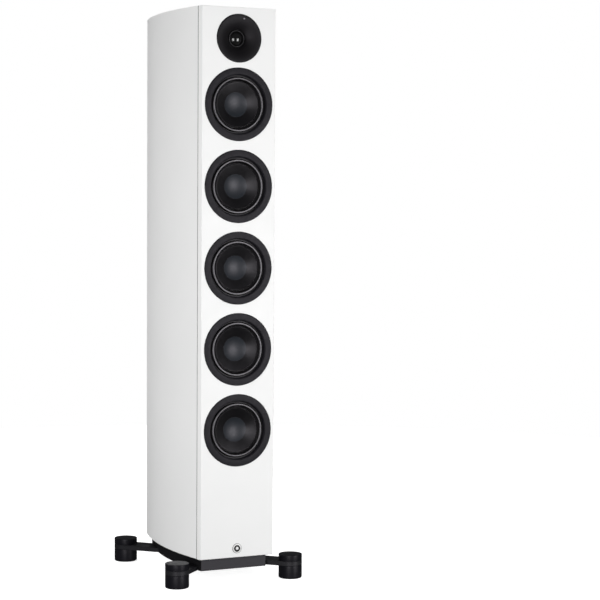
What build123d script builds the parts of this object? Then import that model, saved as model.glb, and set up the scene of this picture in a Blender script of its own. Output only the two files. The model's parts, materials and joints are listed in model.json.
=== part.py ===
from build123d import *
import math
import os

os.makedirs("parts", exist_ok=True)

# A floorstanding loudspeaker in millimetres. The origin is on the floor, at the centre of the rectangle
# of feet. +Z is up and the drivers face -Y. "Depth" is measured backwards from the cabinet's front face.

# ------------------------------------------------------------------ driving dimensions

# feet and outrigger arms
foot_spacing_x = 255.2
foot_spacing_y = 309.7
front_foot_setback = 12.9
foot_radius = 24.6
foot_height = 27.5
stud_radius = 5.0
stud_bottom = 12.5
stud_top = 47.0
stud_clearance = 0.05
arm_bottom = 27.7
arm_thickness = 9.3
arm_length = 134.0
cap_gap = 0.1
cap_top = 50.3
arm_screw_distances = (84.0, 116.0)
arm_screw_radius = 3.0
arm_screw_head_radius = 5.0
arm_screw_head_height = 5.5
grip_screw_distance = 47.0
grip_screw_radius = 3.4

# plinth and cabinet
plinth_front_depth = 17.4
plinth_back_depth = 328.0
plinth_inset = 12.0
cabinet_underside = 54.6
cabinet_height = 1130.0
cabinet_depth = 332.0
panel_thickness = 18.0
side_curve_radius = 665.0
widest_half_width = 99.4
widest_depth = 155.0
edge_rounding = 1.0

# front baffle
baffle_front_half_width = 80.85
baffle_plate_thickness = 13.0
shadow_gap_width = 2.0
shadow_gap_recess = 5.0
baffle_thickness = 25.0

# woofers: depths are of faces, from the front backwards
woofer_count = 5
top_woofer_height = 987.3
woofer_pitch = 167.2
trim_outer_radius = 74.9
trim_inner_radius = 59.0
trim_front = -1.0
trim_seat = 2.5
surround_depth = 6.0
surround_thickness = 0.8
surround_roll_radius = 3.8
surround_roll_centre = 53.2
surround_lip_radius = 61.2
flange_radius = 72.0
flange_thickness = 3.0
basket_hole_radius = 59.0
woofer_screw_circle = 67.0
woofer_screw_radius = 1.9
cone_radius = 49.2
cone_thickness = 1.0
cone_bend = 6.2
cone_neck_depth = 20.0
cone_neck_radius = 16.4
dust_cap_radius = 25.3
dust_cap_depth = 15.2
dust_cap_sink = 6.0
dust_cap_thickness = 0.8
former_inner_radius = 15.7
former_radius = 16.1
winding_radius = 16.7
former_back = 52.0
spider_depth = 29.4
spider_radius = 37.5
spider_steps = 14
basket_mouth_radius = 57.2
basket_shoulder_radius = 58.4
basket_foot_radius = 40.0
basket_foot_bore = 34.0
basket_window_count = 6
basket_window_circle = 50.0
basket_window_size = (26.0, 30.0)
motor_front = 38.0
motor_radius = 37.0
magnet_radius = 42.0
top_plate_thickness = 6.0
magnet_thickness = 15.0
back_plate_thickness = 6.0
pole_radius = 15.3
voice_coil_gap_radius = 17.1

# tweeter
tweeter_height = 1121.5
tweeter_radius = 49.5
tweeter_rim_front = -0.8
tweeter_seat = 4.0
tweeter_hole_radius = 36.5
waveguide_mouth_radius = 46.0
waveguide_throat_radius = 19.2
waveguide_throat_depth = 11.6
tweeter_plate_front = 15.4
tweeter_motor_radius = 31.0
retaining_ring_front = 12.3
retaining_ring_back = 14.8
retaining_ring_inner = 15.4
retaining_ring_outer = 17.1
retaining_ring_edge = 0.6
dome_radius = 13.4
dome_rim_depth = 14.4
dome_crown_depth = 8.4
indicator_offset_x = 11.0
indicator_offset_z = 40.5
indicator_radius = 2.2

# badge
badge_height = 73.2
badge_radius = 10.0
badge_seat = 1.5

# amplifier at the back, and the reflex port
amplifier_width = 120.0
amplifier_bottom = 118.0
amplifier_height = 300.0
amplifier_plate = 3.0
amplifier_cutout_width = 98.0
amplifier_cutout_height = 270.0
fin_count = 13
fin_height = 150.0
fin_depth = 9.0
fin_thickness = 2.4
fin_base = 250.0
inlet_x = -26.0
inlet_height = 150.0
switch_x = 24.0
switch_height = 150.0
button_x = 24.0
button_height = 190.0
port_height = 652.8
port_bore_radius = 27.0
port_wall = 3.0
port_length = 120.0
port_flange_radius = 42.0

# ------------------------------------------------------------------ derived places

front_y = -foot_spacing_y / 2 - front_foot_setback
cabinet_top = cabinet_underside + cabinet_height
back_panel_front = cabinet_depth - panel_thickness
inner_bottom = cabinet_underside + panel_thickness
inner_top = cabinet_top - panel_thickness
shadow_gap_back = baffle_plate_thickness + shadow_gap_width
woofer_heights = [top_woofer_height - woofer_pitch * n for n in range(woofer_count)]
flange_front = surround_depth + surround_thickness
flange_back = flange_front + flange_thickness
magnet_front = motor_front + top_plate_thickness
back_plate_front = magnet_front + magnet_thickness
spider_seat = spider_depth + 1.6
arm_top = arm_bottom + arm_thickness
corners = {
    "front_left": (-1, -1),
    "front_right": (1, -1),
    "rear_left": (-1, 1),
    "rear_right": (1, 1),
}

# ------------------------------------------------------------------ helpers


def save(piece, name):
    """Label a finished piece and write its STEP file."""
    piece.part.label = name
    export_step(piece.part, f"parts/{name}.step")


def half_width(depth, inset=0.0):
    """Half the cabinet's width at a depth, measured to a curve set in from its curved side."""
    reach = math.sqrt((side_curve_radius - inset) ** 2 - (depth - widest_depth) ** 2)
    return widest_half_width - side_curve_radius + reach


def plan_point(side, depth, inset=0.0):
    """A point in plan on the cabinet's left (-1) or right (1) side curve."""
    return (side * half_width(depth, inset), front_y + depth)


def front_plane(height, depth=0.0, x=0.0):
    """A plane facing the listener, with its x to the right and its y up."""
    return Plane(origin=(x, front_y + depth, height), x_dir=(1, 0, 0), z_dir=(0, -1, 0))


def back_plane(height, depth=cabinet_depth, x=0.0):
    """A plane facing backwards, with its y up. Its x runs to -X."""
    return Plane(origin=(x, front_y + depth, height), x_dir=(-1, 0, 0), z_dir=(0, 1, 0))


def driver_plane(height):
    """A plane through a driver's axis, where sketch x is depth and sketch y is radius."""
    return Plane(origin=(0, front_y, height), x_dir=(0, 1, 0), z_dir=(1, 0, 0))


def driver_axis(height):
    """A driver's axis, from the front backwards."""
    return Axis((0, front_y, height), (0, 1, 0))


def turned(height, *profile):
    """A piece turned about a driver's axis from (depth, radius) points."""
    with BuildPart() as piece:
        with BuildSketch(driver_plane(height)):
            Polygon(*profile, align=None)
        revolve(axis=driver_axis(height))
    return piece


def one_per_woofer(make):
    """One node that holds the same piece for every woofer, as separate solids."""
    with BuildPart() as group:
        for height in woofer_heights:
            add(make(height).part)
    return group


def curved_slab(front, back, inset, bottom, top):
    """A level slab between two depths, with its sides on the cabinet's curve set in by inset."""
    middle = (front + back) / 2
    with BuildPart() as slab:
        with BuildSketch(Plane.XY.offset(bottom)):
            with BuildLine():
                Line(plan_point(-1, front, inset), plan_point(1, front, inset))
                ThreePointArc(*[plan_point(1, depth, inset) for depth in (front, middle, back)])
                Line(plan_point(1, back, inset), plan_point(-1, back, inset))
                ThreePointArc(*[plan_point(-1, depth, inset) for depth in (back, middle, front)])
            make_face()
        extrude(amount=top - bottom)
    return slab


# ------------------------------------------------------------------ cabinet


def side_panel(side):
    """A bent side panel, from the shadow gap to the back, with its outside edges rounded."""
    front, back = shadow_gap_back, cabinet_depth
    middle = (front + back) / 2
    with BuildPart() as panel:
        with BuildSketch(Plane.XY.offset(cabinet_underside)):
            with BuildLine():
                ThreePointArc(*[plan_point(side, depth) for depth in (front, middle, back)])
                Line(plan_point(side, back), plan_point(side, back, panel_thickness))
                inner_depths = (back, middle, front)
                ThreePointArc(*[plan_point(side, depth, panel_thickness) for depth in inner_depths])
                Line(plan_point(side, front, panel_thickness), plan_point(side, front))
            make_face()
        extrude(amount=cabinet_height)
        outside = panel.faces().sort_by(Axis.X)[-1 if side > 0 else 0]
        fillet(outside.edges(), radius=edge_rounding)
    return panel


save(side_panel(-1), "left_side_panel")
save(side_panel(1), "right_side_panel")
save(curved_slab(shadow_gap_back, cabinet_depth, panel_thickness, inner_top, cabinet_top), "top_panel")
save(
    curved_slab(shadow_gap_back, cabinet_depth, panel_thickness, cabinet_underside, inner_bottom),
    "bottom_panel",
)

# The front baffle: a lacquered plate, a recessed strip that leaves the shadow gap, and a tongue between
# the side panels. Each driver has stepped seats in it.
plate_back_half_width = half_width(baffle_plate_thickness)
strip_half_width = plate_back_half_width - shadow_gap_recess
tongue_half_width = half_width(shadow_gap_back, panel_thickness)
from_front = (Align.CENTER, Align.MIN, Align.MIN)
with BuildPart() as front_baffle:
    with BuildSketch(Plane.XY.offset(cabinet_underside)):
        Polygon(
            (-baffle_front_half_width, front_y),
            (baffle_front_half_width, front_y),
            (plate_back_half_width, front_y + baffle_plate_thickness),
            (-plate_back_half_width, front_y + baffle_plate_thickness),
            align=None,
        )
    extrude(amount=cabinet_height)
    fillet(front_baffle.faces().sort_by(Axis.Y)[0].edges(), radius=edge_rounding)
    with Locations((0, front_y + baffle_plate_thickness, cabinet_underside + shadow_gap_recess)):
        Box(
            2 * strip_half_width,
            shadow_gap_width,
            cabinet_height - 2 * shadow_gap_recess,
            align=from_front,
        )
    with Locations((0, front_y + shadow_gap_back, inner_bottom)):
        Box(
            2 * tongue_half_width,
            baffle_thickness - shadow_gap_back,
            inner_top - inner_bottom,
            align=from_front,
        )
    for height in woofer_heights:
        with Locations(front_plane(height)):
            CounterBoreHole(flange_radius + 0.3, trim_outer_radius + 0.2, trim_seat, flange_back)
            Hole(basket_hole_radius, baffle_thickness)
        with Locations(front_plane(height, flange_back)):
            with PolarLocations(woofer_screw_circle, 4, start_angle=45):
                Hole(woofer_screw_radius + 0.1, 12.5)
    with Locations(front_plane(tweeter_height)):
        CounterBoreHole(tweeter_hole_radius, tweeter_radius + 0.2, tweeter_seat, baffle_thickness)
    with Locations(front_plane(badge_height)):
        Hole(badge_radius + 0.1, badge_seat)
save(front_baffle, "front_baffle")

with BuildPart() as back_panel:
    add(curved_slab(back_panel_front, cabinet_depth, panel_thickness, inner_bottom, inner_top).part)
    with BuildSketch(back_plane(amplifier_bottom + amplifier_height / 2)):
        Rectangle(amplifier_cutout_width, amplifier_cutout_height)
    extrude(amount=-panel_thickness, mode=Mode.SUBTRACT)
    with Locations(back_plane(port_height)):
        CounterBoreHole(port_bore_radius + port_wall + 0.1, port_flange_radius + 0.2, 3.0, panel_thickness)
save(back_panel, "back_panel")

# Window braces between the woofers, and a closed shelf under the tweeter's own chamber. The two lowest
# braces stop in front of the amplifier.
brace_thickness = 15.0
brace_window_width = 88.0
brace_window_depth = 96.0
brace_window_depths = (88.0, 205.0)
tweeter_shelf_height = 1066.0
amplifier_chamber_depth = 262.0
with BuildPart() as cabinet_braces:
    for woofer_height in woofer_heights:
        bottom = woofer_height - woofer_pitch / 2 - brace_thickness / 2
        clears_amplifier = bottom > amplifier_bottom + amplifier_height
        back = back_panel_front if clears_amplifier else amplifier_chamber_depth
        add(curved_slab(baffle_thickness, back, panel_thickness, bottom, bottom + brace_thickness).part)
        with BuildSketch(Plane.XY.offset(bottom)):
            with Locations(*[(0, front_y + depth) for depth in brace_window_depths]):
                RectangleRounded(brace_window_width, brace_window_depth, 12)
        extrude(amount=brace_thickness, mode=Mode.SUBTRACT)
    shelf_top = tweeter_shelf_height + brace_thickness
    add(
        curved_slab(
            baffle_thickness, back_panel_front, panel_thickness, tweeter_shelf_height, shelf_top
        ).part
    )
save(cabinet_braces, "cabinet_braces")

# Damping pads against the back panel, in the two chambers above the port's.
pad_thickness = 25.0
pad_width = 100.0
pad_height = 140.0
with BuildPart() as acoustic_wadding:
    for height in woofer_heights[:2]:
        with BuildSketch(front_plane(height, back_panel_front - pad_thickness)):
            RectangleRounded(pad_width, pad_height, 8)
        extrude(amount=-pad_thickness)
save(acoustic_wadding, "acoustic_wadding")

# The badge: a dark disc let into the baffle, with a plain ring engraved in its face.
badge_front = -0.8
badge_ring_outer = 7.6
badge_ring_inner = 6.4
badge_engraving = 0.3
with BuildPart() as badge:
    with BuildSketch(front_plane(badge_height, badge_seat)):
        Circle(badge_radius)
    extrude(amount=badge_seat - badge_front)
    fillet(badge.faces().sort_by(Axis.Y)[0].edges(), radius=0.4)
    with BuildSketch(front_plane(badge_height, badge_front)):
        Circle(badge_ring_outer)
        Circle(badge_ring_inner, mode=Mode.SUBTRACT)
    extrude(amount=-badge_engraving, mode=Mode.SUBTRACT)
save(badge, "badge")

# ------------------------------------------------------------------ woofers


def trim_ring(height):
    """The dark ring that covers a basket's flange: a flat band, a fine step and an inner skirt."""
    outer, inner = trim_outer_radius, trim_inner_radius
    return turned(
        height,
        (trim_seat, outer),
        (trim_front + 0.7, outer),
        (trim_front, outer - 0.7),
        (trim_front, inner + 3.4),
        (trim_front + 0.8, inner + 2.8),
        (trim_front + 0.8, inner + 0.6),
        (trim_front + 1.4, inner),
        (surround_depth, inner),
        (surround_depth, inner + 2.5),
        (trim_seat, inner + 2.5),
    )


def basket(height):
    """A pressed frame with six windows, from the mounting flange to the seat of the top plate."""
    with BuildPart() as frame:
        with BuildSketch(driver_plane(height)):
            Polygon(
                (flange_front, basket_mouth_radius),
                (flange_front, flange_radius),
                (flange_back, flange_radius),
                (flange_back, basket_shoulder_radius + 0.3),
                (14.0, basket_shoulder_radius),
                (33.0, basket_foot_radius + 2.0),
                (motor_front, basket_foot_radius),
                (motor_front, basket_foot_bore),
                (spider_seat, basket_foot_bore),
                (spider_seat, spider_radius + 0.5),
                (spider_seat - 2.0, spider_radius + 0.5),
                (12.5, basket_shoulder_radius - 2.0),
                (11.5, basket_mouth_radius),
                align=None,
            )
        revolve(axis=driver_axis(height))
        with BuildSketch(front_plane(height, 15.0)):
            with PolarLocations(basket_window_circle, basket_window_count, start_angle=15):
                Rectangle(*basket_window_size)
        extrude(amount=-13.0, mode=Mode.SUBTRACT)
        with Locations(front_plane(height, flange_front)):
            with PolarLocations(woofer_screw_circle, 4, start_angle=45):
                Hole(woofer_screw_radius + 0.2, flange_thickness)
    return frame


def woofer_screw_set(height):
    """Four countersunk wood screws through a basket's flange, hidden by the trim ring."""
    with BuildPart() as screws:
        with BuildSketch(front_plane(height, flange_front)):
            with PolarLocations(woofer_screw_circle, 4, start_angle=45):
                Circle(1.6 * woofer_screw_radius)
        extrude(amount=2.0)
        with BuildSketch(front_plane(height, flange_front)):
            with PolarLocations(woofer_screw_circle, 4, start_angle=45):
                Circle(woofer_screw_radius)
        extrude(amount=-15.0)
    return screws


def spider(height):
    """The corrugated disc that centres the voice coil: a zigzag of rings, glued to the basket."""
    inner = former_radius + 0.4
    radii = [inner + (spider_radius - inner) * n / spider_steps for n in range(spider_steps + 1)]
    front_side = [(spider_depth + n % 2, radius) for n, radius in enumerate(radii)]
    back_side = [(depth + 0.6, radius) for depth, radius in reversed(front_side)]
    return turned(height, *front_side, *back_side)


def top_plate(height):
    """The steel ring in front of the magnet, whose bore is the voice coil's outer gap wall."""
    return turned(
        height,
        (motor_front, voice_coil_gap_radius),
        (motor_front, motor_radius),
        (magnet_front, motor_radius),
        (magnet_front, voice_coil_gap_radius),
    )


def magnet(height):
    """A ferrite ring magnet with broken edges."""
    return turned(
        height,
        (magnet_front, 20.0),
        (magnet_front, magnet_radius - 1),
        (magnet_front + 1, magnet_radius),
        (back_plate_front - 1, magnet_radius),
        (back_plate_front, magnet_radius - 1),
        (back_plate_front, 20.0),
    )


def yoke(height):
    """The steel back plate with its vented pole piece."""
    return turned(
        height,
        (motor_front, 4.0),
        (motor_front, pole_radius - 0.6),
        (motor_front + 0.6, pole_radius),
        (back_plate_front, pole_radius),
        (back_plate_front, motor_radius),
        (back_plate_front + back_plate_thickness, motor_radius),
        (back_plate_front + back_plate_thickness, 4.0),
    )


def motor_steel(height):
    """A motor's two steel pieces: its top plate, and its back plate with the pole."""
    with BuildPart() as steel:
        add(top_plate(height).part)
        add(yoke(height).part)
    return steel


def surround(height):
    """A rubber half roll with flat lips, between the basket's flange and the cone's rim."""
    front, centre = surround_depth, surround_roll_centre
    back = front + surround_thickness
    outer, inner = surround_roll_radius, surround_roll_radius - surround_thickness
    under = math.sqrt(inner**2 - surround_thickness**2)
    cone_lip = cone_radius - 1.4
    with BuildPart() as ring:
        with BuildSketch(driver_plane(height)):
            with BuildLine():
                Line((front, surround_lip_radius), (front, centre + outer))
                ThreePointArc((front, centre + outer), (front - outer, centre), (front, centre - outer))
                Polyline((front, centre - outer), (front, cone_lip), (back, cone_lip))
                Line((back, cone_lip), (back, centre - under))
                ThreePointArc((back, centre - under), (front - inner, centre), (back, centre + under))
                Polyline(
                    (back, centre + under), (back, surround_lip_radius), (front, surround_lip_radius)
                )
            make_face()
        revolve(axis=driver_axis(height))
    return ring


def cone(height):
    """A shallow cone, nearly straight, from its flat rim behind the surround to the voice coil."""
    front = flange_front
    rim, neck = (front, cone_radius - 1.0), (cone_neck_depth, cone_neck_radius)
    middle = (front + cone_bend, (cone_radius + cone_neck_radius) / 2)
    behind = [(depth + cone_thickness, radius) for depth, radius in (neck, middle, rim)]
    with BuildPart() as shell:
        with BuildSketch(driver_plane(height)):
            with BuildLine():
                ThreePointArc(rim, middle, neck)
                Line(neck, behind[0])
                ThreePointArc(*behind)
                Polyline(behind[2], (front + cone_thickness, cone_radius), (front, cone_radius), rim)
            make_face()
        revolve(axis=driver_axis(height))
    return shell


def dust_cap(height):
    """A shallow dish over the voice coil, glued in the cone and sunk backwards at its middle."""
    front_middle = (dust_cap_depth + dust_cap_sink, 0)
    front_rim = (dust_cap_depth, dust_cap_radius)
    back_middle = (front_middle[0] + dust_cap_thickness, 0)
    back_rim = (dust_cap_depth + dust_cap_thickness, dust_cap_radius)
    with BuildPart() as cap:
        with BuildSketch(driver_plane(height)):
            with BuildLine():
                TangentArc(front_middle, front_rim, tangent=(0, 1))
                Line(front_rim, back_rim)
                TangentArc(back_middle, back_rim, tangent=(0, 1))
                Line(back_middle, front_middle)
            make_face()
        revolve(axis=driver_axis(height))
    return cap


def voice_coil(height):
    """The former glued in the cone's neck, with the winding around its back half."""
    winding_front, winding_back = motor_front - 1, magnet_front + 3
    return turned(
        height,
        (cone_neck_depth + cone_thickness, former_inner_radius),
        (cone_neck_depth + cone_thickness, former_radius),
        (winding_front, former_radius),
        (winding_front, winding_radius),
        (winding_back, winding_radius),
        (winding_back, former_radius),
        (former_back, former_radius),
        (former_back, former_inner_radius),
    )


save(one_per_woofer(trim_ring), "woofer_trim_rings")
save(one_per_woofer(basket), "woofer_baskets")
save(one_per_woofer(woofer_screw_set), "woofer_screws")
save(one_per_woofer(spider), "woofer_spiders")
save(one_per_woofer(motor_steel), "woofer_motor_plates")
save(one_per_woofer(magnet), "woofer_magnets")
for number, height in enumerate(woofer_heights, start=1):
    save(surround(height), f"woofer_{number}_surround")
    save(cone(height), f"woofer_{number}_cone")
    save(dust_cap(height), f"woofer_{number}_dust_cap")
    save(voice_coil(height), f"woofer_{number}_voice_coil")

# ------------------------------------------------------------------ tweeter

# The faceplate's dish narrows along an arc to the throat. A hole near its rim holds the indicator.
with BuildPart() as tweeter_faceplate:
    with BuildSketch(driver_plane(tweeter_height)):
        with BuildLine():
            mouth = (tweeter_rim_front, waveguide_mouth_radius)
            throat = (waveguide_throat_depth, waveguide_throat_radius)
            bend = (2.6, (waveguide_mouth_radius + waveguide_throat_radius) / 2)
            ThreePointArc(mouth, bend, throat)
            Polyline(
                throat,
                (tweeter_plate_front, waveguide_throat_radius),
                (tweeter_plate_front, tweeter_motor_radius),
                (tweeter_seat + 2, tweeter_hole_radius - 1.0),
                (tweeter_seat, tweeter_hole_radius - 0.5),
                (tweeter_seat, tweeter_radius),
                (0, tweeter_radius),
                (tweeter_rim_front, tweeter_radius - 0.8),
                mouth,
            )
        make_face()
    revolve(axis=driver_axis(tweeter_height))
    with Locations(front_plane(tweeter_height, tweeter_rim_front)):
        with Locations((indicator_offset_x, indicator_offset_z)):
            Hole(indicator_radius + 0.05, 3.0)
save(tweeter_faceplate, "tweeter_faceplate")

with BuildPart() as status_indicator:
    indicator_height = tweeter_height + indicator_offset_z
    with BuildSketch(front_plane(indicator_height, tweeter_rim_front + 3.0, indicator_offset_x)):
        Circle(indicator_radius)
    extrude(amount=2.9)
save(status_indicator, "status_indicator")

save(
    turned(
        tweeter_height,
        (retaining_ring_back, retaining_ring_inner),
        (retaining_ring_front + retaining_ring_edge, retaining_ring_inner),
        (retaining_ring_front, retaining_ring_inner + retaining_ring_edge),
        (retaining_ring_front, retaining_ring_outer - retaining_ring_edge),
        (retaining_ring_front + retaining_ring_edge, retaining_ring_outer),
        (retaining_ring_back, retaining_ring_outer),
    ),
    "tweeter_retaining_ring",
)

# The dome's surround is a small flat roll whose lip lies under the retaining ring.
save(
    turned(
        tweeter_height,
        (tweeter_plate_front - 0.5, 17.1),
        (tweeter_plate_front - 0.5, 15.2),
        (13.9, 14.7),
        (13.9, 14.2),
        (14.2, dome_radius),
        (14.5, dome_radius),
        (14.3, 14.3),
        (14.3, 14.6),
        (tweeter_plate_front - 0.1, 15.0),
        (tweeter_plate_front - 0.1, 17.1),
    ),
    "tweeter_surround",
)

with BuildPart() as tweeter_dome:
    with BuildSketch(driver_plane(tweeter_height)):
        with BuildLine():
            TangentArc((dome_crown_depth, 0), (dome_rim_depth, dome_radius), tangent=(0, 1))
            Line((dome_rim_depth, dome_radius), (dome_rim_depth, dome_radius - 0.5))
            inner_rim = (dome_rim_depth, dome_radius - 0.5)
            TangentArc((dome_crown_depth + 0.3, 0), inner_rim, tangent=(0, 1))
            Line((dome_crown_depth + 0.3, 0), (dome_crown_depth, 0))
        make_face()
    revolve(axis=driver_axis(tweeter_height))
save(tweeter_dome, "tweeter_dome")

tweeter_pole_radius = 12.5
tweeter_gap_radius = 13.8
tweeter_coil_wall = 0.4
tweeter_coil_back = 20.0
tweeter_cavity_front = 19.0
tweeter_cavity_back = 30.0
tweeter_cavity_radius = 18.0
tweeter_motor_back = 34.0
save(
    turned(
        tweeter_height,
        (dome_rim_depth, dome_radius - tweeter_coil_wall),
        (dome_rim_depth, dome_radius),
        (tweeter_coil_back, dome_radius),
        (tweeter_coil_back, dome_radius - tweeter_coil_wall),
    ),
    "tweeter_voice_coil",
)
save(
    turned(
        tweeter_height,
        (tweeter_plate_front, tweeter_gap_radius),
        (tweeter_plate_front, tweeter_motor_radius),
        (tweeter_motor_back, tweeter_motor_radius),
        (tweeter_motor_back, 0),
        (tweeter_plate_front, 0),
        (tweeter_plate_front, tweeter_pole_radius),
        (tweeter_cavity_back, tweeter_pole_radius),
        (tweeter_cavity_back, tweeter_cavity_radius),
        (tweeter_cavity_front, tweeter_cavity_radius),
        (tweeter_cavity_front, tweeter_gap_radius),
    ),
    "tweeter_motor",
)

# ------------------------------------------------------------------ amplifier and port

plate_front = cabinet_depth
plate_back = cabinet_depth + amplifier_plate
amplifier_middle = amplifier_bottom + amplifier_height / 2
inlet_opening = (28.0, 20.6)
inlet_well = (24.6, 16.6)
switch_opening = (14.0, 21.4)
rocker_pivot_depth = plate_front - 0.5
rocker_half_width = switch_opening[0] / 2 - 0.4
rocker_pin_radius = 1.2
rocker_pin_length = 2.6
rocker_lug = (3.0, 7.0, 5.0)
button_radius = 3.5
amplifier_screw_x = amplifier_width / 2 - 5.5
standoff_x = 38.0
standoff_spacing_z = 190.0
standoff_length = 26.0
rocker_axis = (switch_x, front_y + rocker_pivot_depth, switch_height)

# The amplifier panel: a plate over the cut-out, cooling fins above, and the openings for the inlet,
# switch and button below. Standoffs on its inside carry the circuit board, and two lugs beside the
# switch's opening are bored for the rocker's pins.
with BuildPart() as amplifier_panel:
    with BuildSketch(back_plane(amplifier_middle, plate_front)):
        RectangleRounded(amplifier_width, amplifier_height, 4)
        with Locations((-inlet_x, inlet_height - amplifier_middle)):
            Rectangle(*inlet_opening, mode=Mode.SUBTRACT)
        with Locations((-switch_x, switch_height - amplifier_middle)):
            Rectangle(*switch_opening, mode=Mode.SUBTRACT)
        with Locations((-button_x, button_height - amplifier_middle)):
            Circle(button_radius + 0.3, mode=Mode.SUBTRACT)
        with GridLocations(2 * amplifier_screw_x, amplifier_height - 14, 2, 2):
            Circle(2.1, mode=Mode.SUBTRACT)
    extrude(amount=amplifier_plate)
    fillet(amplifier_panel.faces().sort_by(Axis.Y)[-1].outer_wire().edges(), radius=0.8)
    with BuildSketch(back_plane(fin_base + fin_height / 2, plate_back)):
        with GridLocations(8.0, fin_height, fin_count, 1):
            RectangleRounded(fin_thickness, fin_height, 1.0)
    extrude(amount=fin_depth)
    with BuildSketch(back_plane(amplifier_middle, plate_front)):
        with GridLocations(2 * standoff_x, standoff_spacing_z, 2, 2):
            Circle(3.0)
    extrude(amount=-standoff_length)
    lug_offset = switch_opening[0] / 2 + 0.2 + rocker_lug[0] / 2
    with BuildSketch(back_plane(switch_height, plate_front, switch_x)):
        with Locations((-lug_offset, 0), (lug_offset, 0)):
            Rectangle(*rocker_lug[:2])
    extrude(amount=-rocker_lug[2])
    with BuildSketch(Plane(rocker_axis, x_dir=(0, 1, 0), z_dir=(1, 0, 0))):
        Circle(rocker_pin_radius + 0.05)
    extrude(amount=rocker_half_width + rocker_pin_length + 0.2, both=True, mode=Mode.SUBTRACT)
save(amplifier_panel, "amplifier_panel")

with BuildPart() as amplifier_screws:
    with BuildSketch(back_plane(amplifier_middle, plate_back)):
        with GridLocations(2 * amplifier_screw_x, amplifier_height - 14, 2, 2):
            Circle(3.6)
    extrude(amount=1.8)
    fillet(amplifier_screws.faces().sort_by(Axis.Y)[-4:].edges(), radius=1.0)
    with BuildSketch(back_plane(amplifier_middle, plate_back + 1.8)):
        with GridLocations(2 * amplifier_screw_x, amplifier_height - 14, 2, 2):
            RegularPolygon(1.3, 6)
    extrude(amount=-1.1, mode=Mode.SUBTRACT)
    with BuildSketch(back_plane(amplifier_middle, plate_back)):
        with GridLocations(2 * amplifier_screw_x, amplifier_height - 14, 2, 2):
            Circle(1.9)
    extrude(amount=-amplifier_plate)
save(amplifier_screws, "amplifier_screws")

# A three-pin appliance inlet: a flanged housing with an open well and its pins.
inlet_depth = 17.0
with BuildPart() as mains_inlet:
    with BuildSketch(back_plane(inlet_height, plate_back, inlet_x)):
        RectangleRounded(inlet_opening[0] + 5, inlet_opening[1] + 5, 2)
    extrude(amount=1.6)
    with BuildSketch(back_plane(inlet_height, plate_back, inlet_x)):
        Rectangle(inlet_opening[0] - 0.2, inlet_opening[1] - 0.2)
    extrude(amount=-(inlet_depth + 2))
    with BuildSketch(back_plane(inlet_height, plate_back + 1.6, inlet_x)):
        Rectangle(*inlet_well)
    extrude(amount=-inlet_depth, mode=Mode.SUBTRACT)
    pin_floor = plate_back + 1.6 - inlet_depth
    with BuildSketch(back_plane(inlet_height, pin_floor, inlet_x)):
        with Locations((-7, -1.5), (7, -1.5), (0, 3.0)):
            Rectangle(2.0, 4.0)
    extrude(amount=inlet_depth - 3)
save(mains_inlet, "mains_inlet")

# A rocker that rests tilted to one side: a round-backed key with a pin on each side, on the hinge axis.
rocker_tilt = math.radians(8)
rocker_half_height = 9.4
rocker_end = 6.1
rocker_waist = 4.5
rocker_back = -1.5
rocker_plane = Plane(
    origin=rocker_axis,
    x_dir=(0, math.cos(rocker_tilt), math.sin(rocker_tilt)),
    z_dir=(1, 0, 0),
)
with BuildPart() as power_switch:
    with BuildSketch(rocker_plane):
        with BuildLine():
            top_back, bottom_back = (rocker_back, rocker_half_height), (rocker_back, -rocker_half_height)
            Polyline(top_back, (rocker_end, rocker_half_height), (rocker_waist, 0))
            Polyline((rocker_waist, 0), (rocker_end, -rocker_half_height), bottom_back)
            ThreePointArc(bottom_back, (-rocker_half_height, 0), top_back)
        make_face()
    extrude(amount=rocker_half_width, both=True)
    with BuildSketch(rocker_plane):
        Circle(rocker_pin_radius)
    extrude(amount=rocker_half_width + rocker_pin_length, both=True)
save(power_switch, "power_switch")

with BuildPart() as pairing_button:
    with BuildSketch(back_plane(button_height, plate_front - 4.0, button_x)):
        Circle(button_radius)
    extrude(amount=4.0 + amplifier_plate + 1.4)
    fillet(pairing_button.faces().sort_by(Axis.Y)[-1].edges(), radius=0.5)
save(pairing_button, "pairing_button")

# The amplifier board on its standoffs, with a transformer, capacitors and output devices.
board_back = plate_front - standoff_length
board_thickness = 1.6
board_size = (88.0, 232.0)
transformer_size = (56.0, 48.0)
transformer_offset = -70.0
transformer_height = 40.0
capacitor_pitch = (24.0, 28.0)
capacitor_offset = -6.0
capacitor_radius = 9.0
capacitor_height = 30.0
device_pitch = (18.0, 34.0)
device_size = (12.0, 22.0)
device_offset = 64.0
device_height = 6.0
with BuildPart() as amplifier_board:
    with BuildSketch(back_plane(amplifier_middle, board_back - board_thickness)):
        RectangleRounded(*board_size, 3)
    extrude(amount=board_thickness)
    with BuildSketch(front_plane(amplifier_middle + transformer_offset, board_back - board_thickness)):
        Rectangle(*transformer_size)
    extrude(amount=transformer_height)
    with BuildSketch(front_plane(amplifier_middle + capacitor_offset, board_back - board_thickness)):
        with GridLocations(*capacitor_pitch, 3, 2):
            Circle(capacitor_radius)
    extrude(amount=capacitor_height)
    with BuildSketch(front_plane(amplifier_middle + device_offset, board_back - board_thickness)):
        with GridLocations(*device_pitch, 4, 2):
            Rectangle(*device_size)
    extrude(amount=device_height)
save(amplifier_board, "amplifier_board")

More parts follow.
